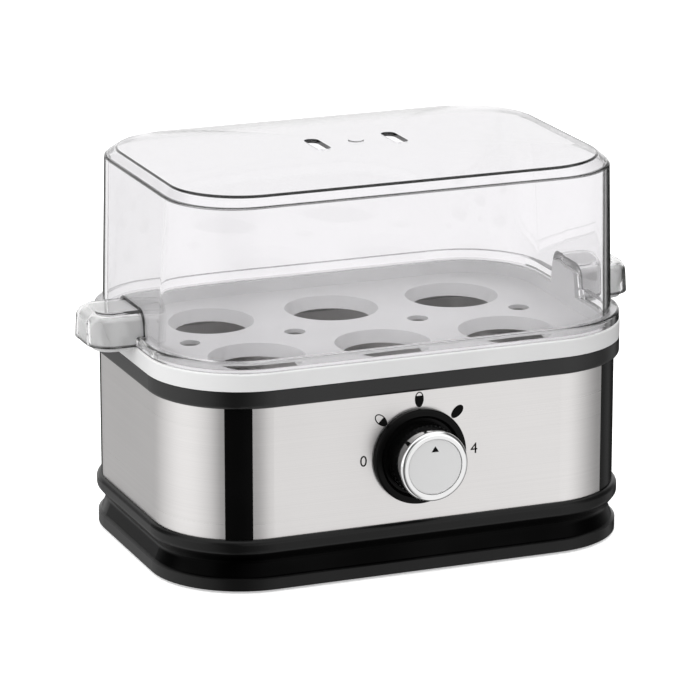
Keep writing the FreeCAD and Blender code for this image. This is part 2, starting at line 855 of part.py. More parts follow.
def knob_bezel():
    nut_room = nut_across / 2 / math.cos(math.pi / 6) + slide_gap
    dish = bezel_proud - bezel_dish
    profile = [(bush_radius + fit_gap, 0, 0), (bezel_radius, 0, 0), (bezel_radius, bezel_proud, bezel_edge)]
    profile += [(bezel_dish_radius + bezel_dish, bezel_proud, 0), (bezel_dish_radius, dish, 0)]
    profile += [(nut_room, dish, 0), (nut_room, bezel_web, 0), (bush_radius + fit_gap, bezel_web, 0)]
    return one_solid(turned(profile, vec(0, front_face, knob_z)))


def ribbed_disc(radius, depth, thickness, centre):
    """Disc with a fine triangular rib pattern on its rim."""
    points = []
    for index in range(2 * knob_rib_count + 1):
        angle = math.pi * index / knob_rib_count
        reach = radius if index % 2 == 0 else radius - depth
        points.append(vec(reach * math.cos(angle), reach * math.sin(angle), 0))
    disc = Part.Face(Part.makePolygon(points)).extrude(vec(0, 0, thickness))
    disc.Placement = FreeCAD.Placement(centre, FreeCAD.Rotation(Z_AXIS, Y_AXIS.negative()))
    return disc


def knob_body():
    back = vec(0, knob_back, knob_z)
    skirt = ribbed_disc(knob_radius, knob_rib_depth, knob_skirt_depth, back)
    web_front = knob_front + cap_recess + cap_thickness
    core_radius = ring_radius - knob_wall
    core = cylinder(core_radius, knob_back - web_front, back, Y_AXIS.negative())
    room = cylinder(core_radius - knob_wall, knob_back - web_front - knob_wall, back, Y_AXIS.negative())
    hub_outer = hub_bore() + hub_wall
    hub = cylinder(hub_outer, hub_back() - web_front, vec(0, hub_back(), knob_z), Y_AXIS.negative())
    bore_depth = hub_back() - spindle_tip() + overrun
    bore = cylinder(hub_bore(), bore_depth, vec(0, hub_back() + overrun, knob_z), Y_AXIS.negative())
    return one_solid(skirt.fuse(core).cut(room).fuse(hub).cut(bore))


def knob_ring():
    start = knob_back - knob_skirt_depth
    depth = start - knob_front
    inner = ring_radius - knob_wall
    step = depth - cap_thickness - cap_recess
    profile = [(inner + fit_gap, 0, 0), (ring_radius, 0, 0), (ring_radius, depth, ring_round)]
    profile += [(cap_radius + fit_gap, depth, 0), (cap_radius + fit_gap, step, 0)]
    profile += [(inner + fit_gap, step, 0)]
    return one_solid(turned(profile, vec(0, start, knob_z)))


def knob_cap():
    back = knob_front + cap_recess + cap_thickness
    profile = [(0, 0, 0), (cap_radius, 0, 0), (cap_radius, cap_thickness, cap_round), (0, cap_thickness, 0)]
    return one_solid(turned(profile, vec(0, back, knob_z)))


def sensor_bulb():
    start = vec(bulb_x, -bulb_length / 2, bulb_z)
    return cylinder(bulb_radius, bulb_length, start, Y_AXIS)


def capillary_tube():
    start = vec(control_half_x, front_inside + control_depth / 2, knob_z)
    end = vec(bulb_x, -bulb_length / 2, bulb_z)
    run = end.x - start.x
    drop = end.y - start.y
    points = [start, start + vec(run / 2, 0, 0), vec(end.x, start.y + drop / 4, (start.z + end.z) / 2)]
    points += [end - vec(0, drop / 3, 0), end]
    return soft_tube(points, capillary_radius)


def strap(radius, centre):
    """Strap over a rod that lies along Y, with a foot on each side flat against the piece above."""
    gap = radius + fit_gap
    outer = gap + strap_sheet
    low = vec(centre.x - outer, centre.y - strap_width / 2, centre.z)
    high = vec(centre.x + outer, centre.y + strap_width / 2, centre.z + gap)
    arch = cylinder(outer, strap_width, vec(centre.x, low.y, centre.z), Y_AXIS).fuse(box_between(low, high))
    foot_low = vec(centre.x - outer - strap_foot, low.y, high.z - strap_sheet)
    foot_high = vec(centre.x + outer + strap_foot, high.y, high.z)
    arch = arch.fuse(box_between(foot_low, foot_high))
    room = cylinder(gap, strap_width, vec(centre.x, low.y, centre.z), Y_AXIS)
    room = room.fuse(box_between(vec(centre.x - gap, low.y, centre.z), vec(centre.x + gap, high.y, high.z)))
    above = box_between(vec(foot_low.x, low.y, high.z), vec(foot_high.x, high.y, high.z + outer))
    return one_solid(arch.cut(room).cut(above))


def bulb_clip():
    return strap(bulb_radius, vec(bulb_x, 0, bulb_z))


def fuse_centre():
    return vec(0, -fuse_offset + fuse_length / 2, fuse_z)


def thermal_fuse():
    return cylinder(fuse_radius, fuse_length, fuse_centre() - vec(0, fuse_length / 2, 0), Y_AXIS)


def fuse_clip():
    return strap(fuse_radius, fuse_centre())


def block_base():
    return cover_top


def pole_places():
    pitch = 2 * block_half_x / block_pole_count
    first = -block_half_x + pitch / 2
    return [first + pitch * index for index in range(block_pole_count)]


def terminal_block():
    low = vec(-block_half_x, block_y - block_half_y, block_base())
    block = box_between(low, vec(block_half_x, block_y + block_half_y, block_base() + block_height))
    for x in pole_places():
        mouth = vec(x, block_y - block_half_y - overrun, block_base() + block_height / 2)
        block = block.cut(cylinder(block_pole_radius, 2 * block_half_y + 2 * overrun, mouth, Y_AXIS))
    return one_solid(block)


def pole_mouth(index):
    depth = block_half_y / 2
    return vec(pole_places()[index], block_y - block_half_y + depth, block_base() + block_height / 2)


def lead_from_block(index, target, arrival):
    """Lead out of the block's front, across the base and up to its tab or pin."""
    start = pole_mouth(index)
    leave = start + vec(0, -2 * block_half_y, 0)
    near = target + arrival
    middle = (leave + near) * 0.5
    middle.z = cover_top + lead_lift
    return soft_tube([start, leave, middle, near, target], lead_radius)


def tab_end(side):
    centre = vec(side * control_tab_spacing / 2, front_inside + control_depth + control_tab_length, knob_z)
    return centre + vec(0, fit_gap, 0)


def live_lead():
    return lead_from_block(0, tab_end(-1), vec(0, 2 * control_tab_length, 0))


def heater_lead():
    start = tab_end(1)
    end = pin_place(-1) - vec(0, 0, fit_gap)
    leave = start + vec(0, 2 * control_tab_length, 0)
    near = end - vec(0, 0, element_pin_length)
    middle = (leave + near) * 0.5
    middle.z = min(leave.z, near.z) - element_pin_length
    return soft_tube([start, leave, middle, near, end], lead_radius)


def neutral_lead():
    end = pin_place(1) - vec(0, 0, fit_gap)
    return lead_from_block(1, end, vec(0, 0, -2 * element_pin_length))


def earth_lead_place():
    x, y = stud_places()[-1]
    return x, y + tag_radius + tag_tail - lead_radius - tag_sheet


def earth_lead():
    x, y = earth_lead_place()
    end = vec(x, y, heater_low - tag_sheet - fit_gap)
    return lead_from_block(2, end, vec(0, 0, -2 * element_pin_length))


def earth_tag():
    x, y = stud_places()[-1]
    centre = vec(x, y, heater_low - tag_sheet)
    ring = tube_ring(tag_radius, stud_radius + fit_gap, tag_sheet, centre)
    tail_low = centre + vec(-lead_radius, tag_radius - tag_sheet, 0)
    tail = box_between(tail_low, tail_low + vec(2 * lead_radius, tag_tail, tag_sheet))
    return one_solid(ring.fuse(tail))


def bottom_cover():
    inset = foot_inset + plinth_wall + cover_gap
    cover = plate(inset, cover_low, cover_top)
    for x, y in corner_places():
        cover = cover.fuse(cylinder(boss_radius, shelf_low - cover_top, vec(x, y, cover_top)))
    through_depth = shelf_low - cover_low + 2 * overrun
    sink_depth = screw_recess + screw_head_height + overrun
    for x, y in corner_places():
        below = vec(x, y, cover_low - overrun)
        through = cylinder(screw_radius + fit_gap, through_depth, below)
        sink = cylinder(screw_head_radius + fit_gap, sink_depth, below)
        cover = cover.cut(through).cut(sink)
    slot_size = vec(cover_slot_width, cover_slot_length, cover_thickness + 2 * overrun)
    for index in range(cover_slot_count):
        x = (index - (cover_slot_count - 1) / 2) * cover_slot_pitch
        low = vec(x - cover_slot_width / 2, -cover_slot_length / 2, cover_low - overrun)
        cover = cover.cut(box_between(low, low + slot_size))
    for x, y in foot_places():
        cover = cover.cut(cylinder(foot_stem_radius + fit_gap, cover_thickness, vec(x, y, cover_low)))
    return one_solid(cover)


def foot_places():
    place_x = boss_x - foot_pad_in_x
    place_y = boss_y - foot_pad_in_y
    return [(sign_x * place_x, sign_y * place_y) for sign_x, sign_y in CORNERS]


def rubber_feet():
    feet = []
    for x, y in foot_places():
        pad = cylinder(foot_pad_radius, cover_low, vec(x, y, 0))
        stem = cylinder(foot_stem_radius, cover_thickness, vec(x, y, cover_low))
        feet.append(one_solid(pad.fuse(stem)))
    return Part.makeCompound(feet)


def base_screws():
    screws = []
    for x, y in corner_places():
        head_low = cover_low + screw_recess
        head = cylinder(screw_head_radius, screw_head_height, vec(x, y, head_low))
        shank = cylinder(screw_radius, plinth_top + screw_bite - head_low, vec(x, y, head_low))
        screws.append(one_solid(head.fuse(shank)))
    return Part.makeCompound(screws)


def collar_screws():
    screws = []
    ledge_low = panel_top - shell_ledge
    for x, y in collar_screw_places():
        low = ledge_low - collar_screw_head_height
        head = cylinder(collar_screw_head_radius, collar_screw_head_height, vec(x, y, low))
        length = panel_top + collar_screw_bite - low
        shank = cylinder(collar_screw_radius, length, vec(x, y, low))
        screws.append(one_solid(head.fuse(shank)))
    return Part.makeCompound(screws)


def cord_gland():
    body_radius = gland_bore + gland_wall - fit_gap
    flange_radius = body_radius + gland_flange
    inner_end = rear_inside - gland_inner
    body = cylinder(body_radius, gland_outer - inner_end, vec(gland_x, inner_end, gland_z), Y_AXIS)
    flange = cylinder(flange_radius, gland_flange_thickness, vec(gland_x, rear_face, gland_z), Y_AXIS)
    inside = vec(gland_x, rear_inside, gland_z)
    lip = cylinder(flange_radius, gland_flange_thickness, inside, Y_AXIS.negative())
    bore_depth = gland_outer - inner_end + 2 * overrun
    bore = cylinder(gland_bore, bore_depth, vec(gland_x, inner_end - overrun, gland_z), Y_AXIS)
    return one_solid(body.fuse(flange).fuse(lip).cut(bore))


def write_part(name, shape):
    """Puts a piece in the part's frame and writes it."""
    placed = shape.copy()
    placed.translate(vec(0, -origin_y, 0))
    placed.exportStep("parts/" + name + ".step")
    box = placed.BoundBox
    size = "%.1f %.1f %.1f" % (box.XLength, box.YLength, box.ZLength)
    print(name, "solids", len(placed.Solids), "valid", placed.isValid(), "size", size)


def main():
    os.makedirs("parts", exist_ok=True)
    pieces = dict(steel_panels())
    makers = (base_plinth, housing_shell, top_collar, heating_pan, pan_seal, egg_tray, lid_cover)
    makers += (heater_plate, heating_element, element_pins, plate_studs, plate_nuts, heat_shield)
    makers += (thermostat_body, control_spindle, knob_clip, thermostat_nut, knob_bezel, knob_body)
    makers += (knob_ring, knob_cap, sensor_bulb, capillary_tube, bulb_clip, thermal_fuse, fuse_clip)
    makers += (terminal_block, live_lead, heater_lead, neutral_lead, earth_lead, earth_tag, bottom_cover)
    makers += (rubber_feet, base_screws, collar_screws, cord_gland)
    for maker in makers:
        pieces[maker.__name__] = maker()
    for name, shape in pieces.items():
        write_part(name, shape)


main()
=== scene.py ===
import json
import math

import bmesh
import bpy
from mathutils import Matrix, Vector


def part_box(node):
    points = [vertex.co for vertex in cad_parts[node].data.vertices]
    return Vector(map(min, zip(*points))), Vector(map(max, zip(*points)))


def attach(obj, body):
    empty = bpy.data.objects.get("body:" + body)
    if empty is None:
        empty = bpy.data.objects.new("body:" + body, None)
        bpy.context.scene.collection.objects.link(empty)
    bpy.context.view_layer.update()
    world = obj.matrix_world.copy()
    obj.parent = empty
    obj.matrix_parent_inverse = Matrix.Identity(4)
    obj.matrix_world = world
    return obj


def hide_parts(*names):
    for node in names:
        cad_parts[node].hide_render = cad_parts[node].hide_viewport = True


# Electric egg cooker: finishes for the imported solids, with a closer lid and the prints of the front.
# Metres, X along the front, Y away from the user, Z up.

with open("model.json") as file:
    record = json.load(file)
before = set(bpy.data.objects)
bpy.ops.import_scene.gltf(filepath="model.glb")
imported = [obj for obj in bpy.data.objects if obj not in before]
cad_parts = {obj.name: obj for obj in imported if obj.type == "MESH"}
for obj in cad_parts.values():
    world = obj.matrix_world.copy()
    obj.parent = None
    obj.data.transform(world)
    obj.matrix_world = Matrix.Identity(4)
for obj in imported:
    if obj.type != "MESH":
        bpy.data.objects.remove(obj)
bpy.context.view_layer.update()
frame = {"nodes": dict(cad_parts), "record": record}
solids = frame["nodes"]
mm = 0.001

# Places read from the solids
collar_low, collar_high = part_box("top_collar")
lid_low, lid_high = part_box("lid_cover")
cap_low, cap_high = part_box("knob_cap")
panel_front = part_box("front_panel")[0].y
foot_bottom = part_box("base_plinth")[0].z
half_x = (collar_high.x - collar_low.x) / 2
half_y = (collar_high.y - collar_low.y) / 2
middle_y = (collar_high.y + collar_low.y) / 2
knob_z = (cap_high.z + cap_low.z) / 2

# Clear lid: rim flange, tapered wall, shoulder and dome, with the roundings of a moulding
corner_radius = 36.1 * mm
corner_steps = 16
rim_inset = 0.3 * mm
rim_height = 3.6 * mm
rim_round = 1.0 * mm
foot_inset = 3.4 * mm
lid_draft = 2.4 * mm
lid_wall = 2.0 * mm
lid_roof = 1.6 * mm
bend_share = 0.42
wall_height = 59.8 * mm
wall_radius = 27.0 * mm
wall_round = 0.3 * mm
shoulder_height = 3.5 * mm
shoulder_width = 3.6 * mm
crown_radius = 27.0 * mm
crown_round = 0.4 * mm
dome_rise = 3.0 * mm
dome_power = 3.1
dome_shares = (0.93, 0.85, 0.75, 0.64, 0.5, 0.36, 0.22, 0.1)
inner_round = 0.25 * mm
round_steps = 3

# Steam slots and gate mark of the lid
vent_spacing = 31.0 * mm
vent_length = 17.5 * mm
vent_width = 5.6 * mm
vent_end_share = 0.49
gate_radius = 3.0 * mm
gate_height = 0.4 * mm
gate_sides = 48

# Hollow handles of the lid
hood_half_width = 15.0 * mm
hood_height = 12.2 * mm
hood_draft = 1.6 * mm
hood_plan_radius = 9.0 * mm
hood_top_radius = 4.6 * mm
hood_steps = 8

# Marks printed round the knob and on its cap; egg marks as (name, turn in degrees, filled share)
print_lift = 0.06 * mm
mark_circle = 21.6 * mm
egg_marks = [("soft_egg_mark", -45, 0.5), ("medium_egg_mark", 0, 0.74), ("hard_egg_mark", 45, 1.0)]
egg_width = 3.5 * mm
egg_length = 5.9 * mm
egg_line = 0.4 * mm
egg_sides = 40
blunt_share = 0.46
digit_height = 4.2 * mm
digit_em = 1.4
pointer_size = 2.9 * mm
pointer_stretch = 1.15
pointer_circle = 6.4 * mm

# Shading of the new meshes
sharp_angle = math.radians(32)

# Plastics and metals. In finishes and in the studio, a pair is the band where a mask rises from 0 to 1.
noise_middle = (0.3, 0.7)
mottle_scale = 35.0
grain_gloss = 0.12
grain_depth = 0.02 * mm
grain_strength = 0.35
own_blacks = {"knob_bezel": "bezel_black", "knob_body": "rib_black", "housing_shell": "bezel_black",
              "base_plinth": "foot_black"}
# Painted shade: between these heights over the foot the plinth's waist turns metallic and renders deep
# black
waist_shade_start = (4.4 * mm, 4.9 * mm)
waist_shade_end = (13.8 * mm, 14.8 * mm)

sheet_tint = (1.0, 0.978, 0.968)
sheet_spread = 0.03
scratch_share = 0.6
scratch_roughness = 0.65
scratch_gloss = 0.14
scratch_depth = 0.008 * mm
sheet_cloud_scale = 18.0

metal_cloud_scale = 60.0
mark_scale = 900.0
mark_gloss = 0.1
mark_depth = 0.01 * mm
mark_strength = 0.3

ink_specular = 0.06
ink_gain = 1.3

# Clear plastic: painted shade along its moulded edges, standing in for the dark lines of refraction, which
# ends behind a share of the half depth, and the bands of slant, bend and place where painted shade darkens
# it
edge_layer = "edge_tint"
wall_edge_shade = 0.75
crown_edge_shade = 0.5
inner_edge_shade = 0.7
rear_share = 0.6
clear_index = 1.49
# Painted shade by slant: dark bars in the corners seen edge-on, wide ones on the right side only, and dark
# at grazing slant
corner_levels = [(0.585, 0.0), (0.605, 0.92), (0.635, 0.92), (0.66, 0.8), (0.69, 0.8), (0.71, 1.0)]
corner_levels += [(0.875, 1.0), (0.89, 0.4), (1.0, 0.4)]
corner_bend = (0.12, 0.28)
outer_bend = (0.04, 0.14)
corner_slant = (0.755, 0.79)
hood_slant = (0.38, 0.52)
grazing_slant = (0.93, 0.98)
right_face = (-0.1, 0.3)
level_face = (0.3, 0.6)
wall_dark = 0.04
wall_lilac = (1.0, 0.992, 1.005)
flow_scale = 25.0
flow_band = (0.3, 0.8)
flow_roughness = 0.015

# Painted shade lines of the handles: where they join the wall, and along their lower rims
wall_x = half_x - foot_inset - 0.2 * mm
hood_start = (wall_x + 0.6 * mm, wall_x + 1.2 * mm)
joint_radius = 4.0 * mm
joint_reach = (0.35 * mm, 0.55 * mm)
joint_width = (0.6 * mm, 0.9 * mm)
joint_dark = 0.9
lower_width = (0.3 * mm, 0.5 * mm)
lower_dark = 0.8

# Studio: levels by azimuth of what low and high gloss reflects, then the even light on surfaces
low_panels = [(-180, 0.3), (-172, 0.49), (-152, 0.54), (-128, 0.84), (-108, 1.0), (-84, 1.0)]
low_panels += [(-68, 0.84), (-54, 0.68), (-44, 0.3), (-36, 0.06), (-16, 0.06), (-4, 0.32), (8, 0.5)]
low_panels += [(17, 0.86), (24, 0.98), (36, 1.0), (46, 0.88), (62, 0.66), (78, 0.4), (92, 0.24)]
low_panels += [(108, 0.45), (118, 0.4), (126, 0.03), (146, 0.03), (152, 0.12), (158, 0.22)]
low_panels += [(163, 0.06), (175, 0.06), (180, 0.35)]
high_panels = [(-180, 0.89), (-168, 0.85), (-160, 0.5), (-154, 0.1), (-132, 0.08), (-118, 0.12)]
high_panels += [(-104, 1.2), (-62, 1.2), (-50, 0.1), (-24, 0.1), (-8, 0.5), (16, 1.1), (44, 1.1)]
high_panels += [(58, 0.12), (96, 0.08), (124, 0.2), (142, 0.89), (180, 0.89)]
high_band = (-0.17, -0.1)
roof_band = (0.64, 0.8)
roof_level = 1.2
horizon_band = (-0.05, 0.2)
horizon_gain = 0.25
ground_band = (-0.02, 0.02)
ground_level = 0.34
sky_level = 0.9
sky_gain = 0.62
side_gain = 0.3
backdrop_level = 1.08

# Floor and camera
floor_half = 6.0
floor_glow = 0.45
floor_cloud_scale = 2.0
view_azimuth = math.radians(-21.89)
view_elevation = math.radians(16.04)
view_spot = (-0.5803, -1.43155, 0.5148)
view_lens = 219.26
view_sensor = 36.0
view_clip = (0.05, 60.0)


class Shade:
    """A shader socket; arithmetic on it adds Math nodes to its material."""

    def __init__(self, tree, socket=None):
        self.tree = tree
        self.socket = socket

    def node(self, kind, settings=None, values=None, output=0):
        """Adds a node with its settings, then fills its sockets with values or links."""
        made = self.tree.nodes.new(kind)
        for name, value in (settings or {}).items():
            if name == "stops":
                fill_ramp(made.color_ramp, value)
            else:
                setattr(made, name, value)
        for name, value in (values or {}).items():
            if isinstance(value, Shade):
                self.tree.links.new(value.socket, made.inputs[name])
            else:
                made.inputs[name].default_value = value
        return Shade(self.tree, made.outputs[output])

    def maths(self, operation, first, second=0.0):
        return self.node("ShaderNodeMath", {"operation": operation}, {0: first, 1: second})

    def __add__(self, other):
        return self.maths("ADD", self, other)

    def __radd__(self, other):
        return self.maths("ADD", other, self)

    def __sub__(self, other):
        return self.maths("SUBTRACT", self, other)

    def __rsub__(self, other):
        return self.maths("SUBTRACT", other, self)

    def __mul__(self, other):
        return self.maths("MULTIPLY", self, other)

    def __rmul__(self, other):
        return self.maths("MULTIPLY", other, self)

    def __abs__(self):
        return self.maths("ABSOLUTE", self)

    def over(self, low, high):
        """0 below low, 1 above high and a soft step between."""
        settings = {"interpolation_type": "SMOOTHSTEP"}
        values = {"Value": self, "From Min": low, "From Max": high}
        return self.node("ShaderNodeMapRange", settings, values)

    def ramp(self, stops):
        """The level or colour that a list of stops gives for this value."""
        return self.node("ShaderNodeValToRGB", {"stops": stops}, {"Fac": self})

    def parts(self):
        """X, Y and Z of a vector."""
        return [self.node("ShaderNodeSeparateXYZ", {}, {"Vector": self}, output=axis) for axis in "XYZ"]


def fill_ramp(ramp, stops):
    while len(ramp.elements) < len(stops):
        ramp.elements.new(1.0)
    for element, (place, colour) in zip(ramp.elements, stops):
        element.position = place
        element.color = colour


def grey(level, tint=(1.0, 1.0, 1.0)):
    return (level * tint[0], level * tint[1], level * tint[2], 1.0)


class Finish:
    """A material on the Principled shader, with constants on its own sockets."""

    def __init__(self, name, constants):
        self.material = bpy.data.materials.new(name)
        self.material.use_nodes = True
        self.tree = self.material.node_tree
        self.shader = self.tree.nodes["Principled BSDF"]
        self.start = Shade(self.tree)
        for socket, value in constants.items():
            self.shader.inputs[socket].default_value = value

    def drive(self, socket, value):
        self.tree.links.new(value.socket, self.shader.inputs[socket])

    def axis(self, letter):
        spot = self.start.node("ShaderNodeTexCoord", output="Object")
        return self.start.node("ShaderNodeSeparateXYZ", {}, {"Vector": spot}, output=letter)

    def noise(self, scale, detail=2.0, stretch=(1.0, 1.0, 1.0), roughness=0.5):
        """Noise on Object coordinates, stretched by a scale on each axis."""
        spot = self.start.node("ShaderNodeTexCoord", output="Object")
        place = self.start.node("ShaderNodeMapping", {}, {"Vector": spot, "Scale": stretch})
        values = {"Vector": place, "Scale": scale, "Detail": detail, "Roughness": roughness}
        return self.start.node("ShaderNodeTexNoise", {}, values)

    def mottle(self, pattern, low, high):
        """Base colour that moves from low to high with the middle values of a noise."""
        self.drive("Base Color", pattern.over(*noise_middle).ramp([(0.0, low), (1.0, high)]))

    def gloss(self, pattern, roughness, spread):
        """Roughness that moves round a mean with a noise."""
        self.drive("Roughness", roughness + (pattern - 0.5) * spread)

    def bump(self, height, distance, strength):
        values = {"Height": height, "Distance": distance, "Strength": strength}
        self.drive("Normal", self.start.node("ShaderNodeBump", {}, values))


def moulded(name, low, high, roughness, grain, specular=0.5, waist_shade=False):
    """Moulded plastic: two close colours in a soft mottle and a fine grain; painted shade makes a waist
    metallic, so that it renders deep black.
    """
    finish = Finish(name, {"Specular IOR Level": specular})
    finish.mottle(finish.noise(mottle_scale), low, high)
    if waist_shade:
        # Painted shade: the waist recess made metallic and nearly black
        height = finish.axis("Z") - foot_bottom
        finish.drive("Metallic", height.over(*waist_shade_start) - height.over(*waist_shade_end))
    fine = finish.noise(grain, detail=3.0)
    finish.gloss(fine, roughness, grain_gloss)
    finish.bump(fine, grain_depth, grain_strength)
    return finish.material


def sheet_steel(name, along, level, roughness):
    """Brushed sheet: long fine scratches that run along a stretch vector."""
    finish = Finish(name, {"Metallic": 1.0})
    scratch = finish.noise(1.0, detail=4.0, stretch=along, roughness=scratch_roughness)
    tone = scratch * scratch_share + finish.noise(sheet_cloud_scale) * (1 - scratch_share)
    finish.mottle(tone, grey(level - sheet_spread, sheet_tint), grey(level + sheet_spread, sheet_tint))
    finish.gloss(scratch, roughness, scratch_gloss)
    finish.bump(scratch, scratch_depth, grain_strength)
    return finish.material


def drawn_metal(name, low, high, roughness):
    """Plain metal with a faint cloud and fine marks."""
    finish = Finish(name, {"Metallic": 1.0})
    finish.mottle(finish.noise(metal_cloud_scale, detail=3.0), low, high)
    fine = finish.noise(mark_scale)
    finish.gloss(fine, roughness, mark_gloss)
    finish.bump(fine, mark_depth, mark_strength)
    return finish.material


def printed_ink(name, level, roughness):
    """Screen-printed ink: dense, with a slightly uneven film."""
    finish = Finish(name, {"Specular IOR Level": ink_specular})
    film = finish.noise(mark_scale)
    finish.mottle(film, grey(level), grey(level * ink_gain))
    finish.gloss(film, roughness, mark_gloss)
    return finish.material


def handle_shade_lines(finish, out, beyond):
    """Painted shade lines where the handles join the lid's wall, and along their lower rims."""
    height = finish.axis("Z") - lid_low.z
    across = abs(finish.axis("Y") - middle_y) + height * (hood_draft / hood_height)
    side = across - (hood_half_width - joint_radius)
    top = height - (hood_height - joint_radius)
    spread = finish.start.maths("MAXIMUM", side, 0.0)
    climb = finish.start.maths("MAXIMUM", top, 0.0)
    reach = finish.start.maths("SQRT", spread * spread + climb * climb)
    deep = finish.start.maths("MINIMUM", finish.start.maths("MAXIMUM", side, top), 0.0)
    away = abs(reach + deep - joint_radius)
    joint = (1 - abs(out - wall_x).over(*joint_reach)) * (1 - away.over(*joint_width))
    lower = beyond * (1 - height.over(*lower_width))
    return joint * joint_dark + lower * lower_dark


def clear_plastic(name):
    """Clear moulding: refracting, with painted shade in its base colour along its moulded edges, at its
    handles and in its corners seen edge-on, standing in for the dark lines of refraction.
    """
    finish = Finish(name, {"Transmission Weight": 1.0, "IOR": clear_index})
    # Painted shade by slant, bend and place: wide dark bars only on the right side, thin lines in the
    # corners seen edge-on, darker at grazing slant and on the sides of the handles
    slant = finish.start.node("ShaderNodeLayerWeight", {}, {"Blend": 0.5}, output="Facing")
    x, y, z = finish.start.node("ShaderNodeTexCoord", output="Normal").parts()
    bend = abs(x * y)
    out = finish.axis("X")
    beyond = abs(out).over(*hood_start)
    right = x.over(*right_face) * out.over(0.0, half_x / 2)
    outward = (x * out).over(0.0, half_x / 4)
    wide = slant.ramp([(place, grey(level)) for place, level in corner_levels])
    wide = wide + slant.over(*hood_slant) * beyond
    thin = slant.over(*corner_slant)
    corner_shade = bend.over(*corner_bend) * (wide * right + thin)
    corner_shade = corner_shade + bend.over(*outer_bend) * thin * outward + slant.over(*grazing_slant)
    # Painted shade marked on the moulded edges and on the slot walls
    edge = finish.start.node("ShaderNodeAttribute", {"attribute_name": edge_layer}, output="Fac")
    painted_shade = corner_shade * (1 - abs(z).over(*level_face)) + edge + handle_shade_lines(finish, abs(out), beyond)
    painted_shade = painted_shade + (1 - beyond) * wall_dark
    stops = [(0.0, grey(0.995)), (wall_dark, grey(0.93, wall_lilac)), (0.35, grey(0.3)), (1.0, grey(0.002))]
    finish.drive("Base Color", painted_shade.ramp(stops))
    flow = finish.noise(flow_scale, detail=1.0)
    finish.drive("Roughness", flow.over(*flow_band) * flow_roughness)
    return finish.material


def make_finishes():
    """Finishes by slot: two close colours, a roughness and, on plastics, the scale of the grain."""
    steel, cream, pale_cream = (1.0, 0.99, 0.98), (1, 0.97, 0.88), (1, 0.97, 0.9)
    return {
        "clear_plastic": clear_plastic("clear_moulding"),
        "white_plastic": moulded("white_moulding", grey(0.88), grey(0.92), 0.34, 2200.0),
        "black_plastic": moulded("black_moulding", grey(0.0045), grey(0.007), 0.3, 2600.0),
        "brushed_steel": sheet_steel("brushed_sheet", (3.0, 3.0, 2600.0), 0.78, 0.3),
        "pan_steel": sheet_steel("pan_sheet", (40.0, 700.0, 40.0), 0.6, 0.3),
        "silicone": moulded("grey_silicone", grey(0.34), grey(0.4), 0.5, 900.0),
        "cast_aluminium": drawn_metal("cast_plate", grey(0.5), grey(0.62), 0.42),
        "element_sheath": drawn_metal("dull_tube", grey(0.28), grey(0.36), 0.4),
        "fixing_steel": drawn_metal("plated_fixing", grey(0.5, steel), grey(0.6, steel), 0.25),
        "control_case": moulded("cream_thermoset", grey(0.6, cream), grey(0.68, cream), 0.5, 900.0),
        "feeler_copper": drawn_metal("drawn_copper", (0.6, 0.3, 0.16, 1), (0.7, 0.38, 0.22, 1), 0.3),
        "fuse_case": moulded("glass_sleeve", grey(0.66, cream), grey(0.74, pale_cream), 0.6, 700.0),
        "chrome_ring": drawn_metal("bright_chrome", grey(0.86), grey(0.9), 0.06),
        "grey_cap": moulded("grey_moulding", grey(0.84), grey(0.88), 0.3, 2400.0),
        "block_plastic": moulded("nylon_block", grey(0.62), grey(0.7), 0.5, 900.0),
        "brown_wire": moulded("brown_insulation", (0.1, 0.04, 0.02, 1), (0.13, 0.055, 0.03, 1), 0.5, 900.0),
        "blue_wire": moulded("blue_insulation", (0.03, 0.1, 0.4, 1), (0.04, 0.13, 0.46, 1), 0.5, 900.0),
        "green_wire": moulded("green_insulation", (0.16, 0.3, 0.02, 1), (0.22, 0.4, 0.03, 1), 0.5, 900.0),
        "foot_rubber": moulded("soft_rubber", grey(0.012), grey(0.02), 0.7, 1200.0),
        "black_ink": printed_ink("black_ink", 0.003, 0.4),
        "bezel_black": moulded("deep_black_moulding", grey(0.002), grey(0.003), 0.24, 2600.0, specular=0.1),
        # The plinth, with painted shade in its waist
        "foot_black": moulded("satin_black_waist_shade_moulding", grey(0.003), grey(0.005), 0.3, 2600.0,
                              specular=0.25, waist_shade=True),
        "rib_black": moulded("gloss_black_moulding", grey(0.002), grey(0.003), 0.14, 2600.0, specular=0.6),
    }


def dress_solids():
    """Gives every solid the finish of its slot in the record, and some of the blacks their own."""
    for row in frame["record"]["subparts"]:
        solid = solids[row["node"]]
        solid.data.materials.clear()
        name = own_blacks.get(row["node"], row["material_slot"])
        solid.data.materials.append(finishes[name])


def first_loop(shape, form):
    """Rounded rectangle of edges round the body's middle; a form is (half x, half y, radius, z)."""
    half_width, half_depth, radius, z = form
    start = bmesh.ops.create_grid(shape, x_segments=1, y_segments=1, size=1.0)["verts"]
    bmesh.ops.scale(shape, verts=start, vec=(half_width, half_depth, 1))
    bmesh.ops.translate(shape, verts=start, vec=(0, middle_y, z))
    rounded = bmesh.ops.bevel(shape, geom=start, offset=radius, segments=corner_steps, profile=0.5,
                              affect="VERTICES", material=-1)["verts"]
    faces = {face for vert in rounded for face in vert.link_faces}
    bmesh.ops.delete(shape, geom=list(faces), context="FACES_ONLY")
    return list({edge for vert in rounded for edge in vert.link_edges})


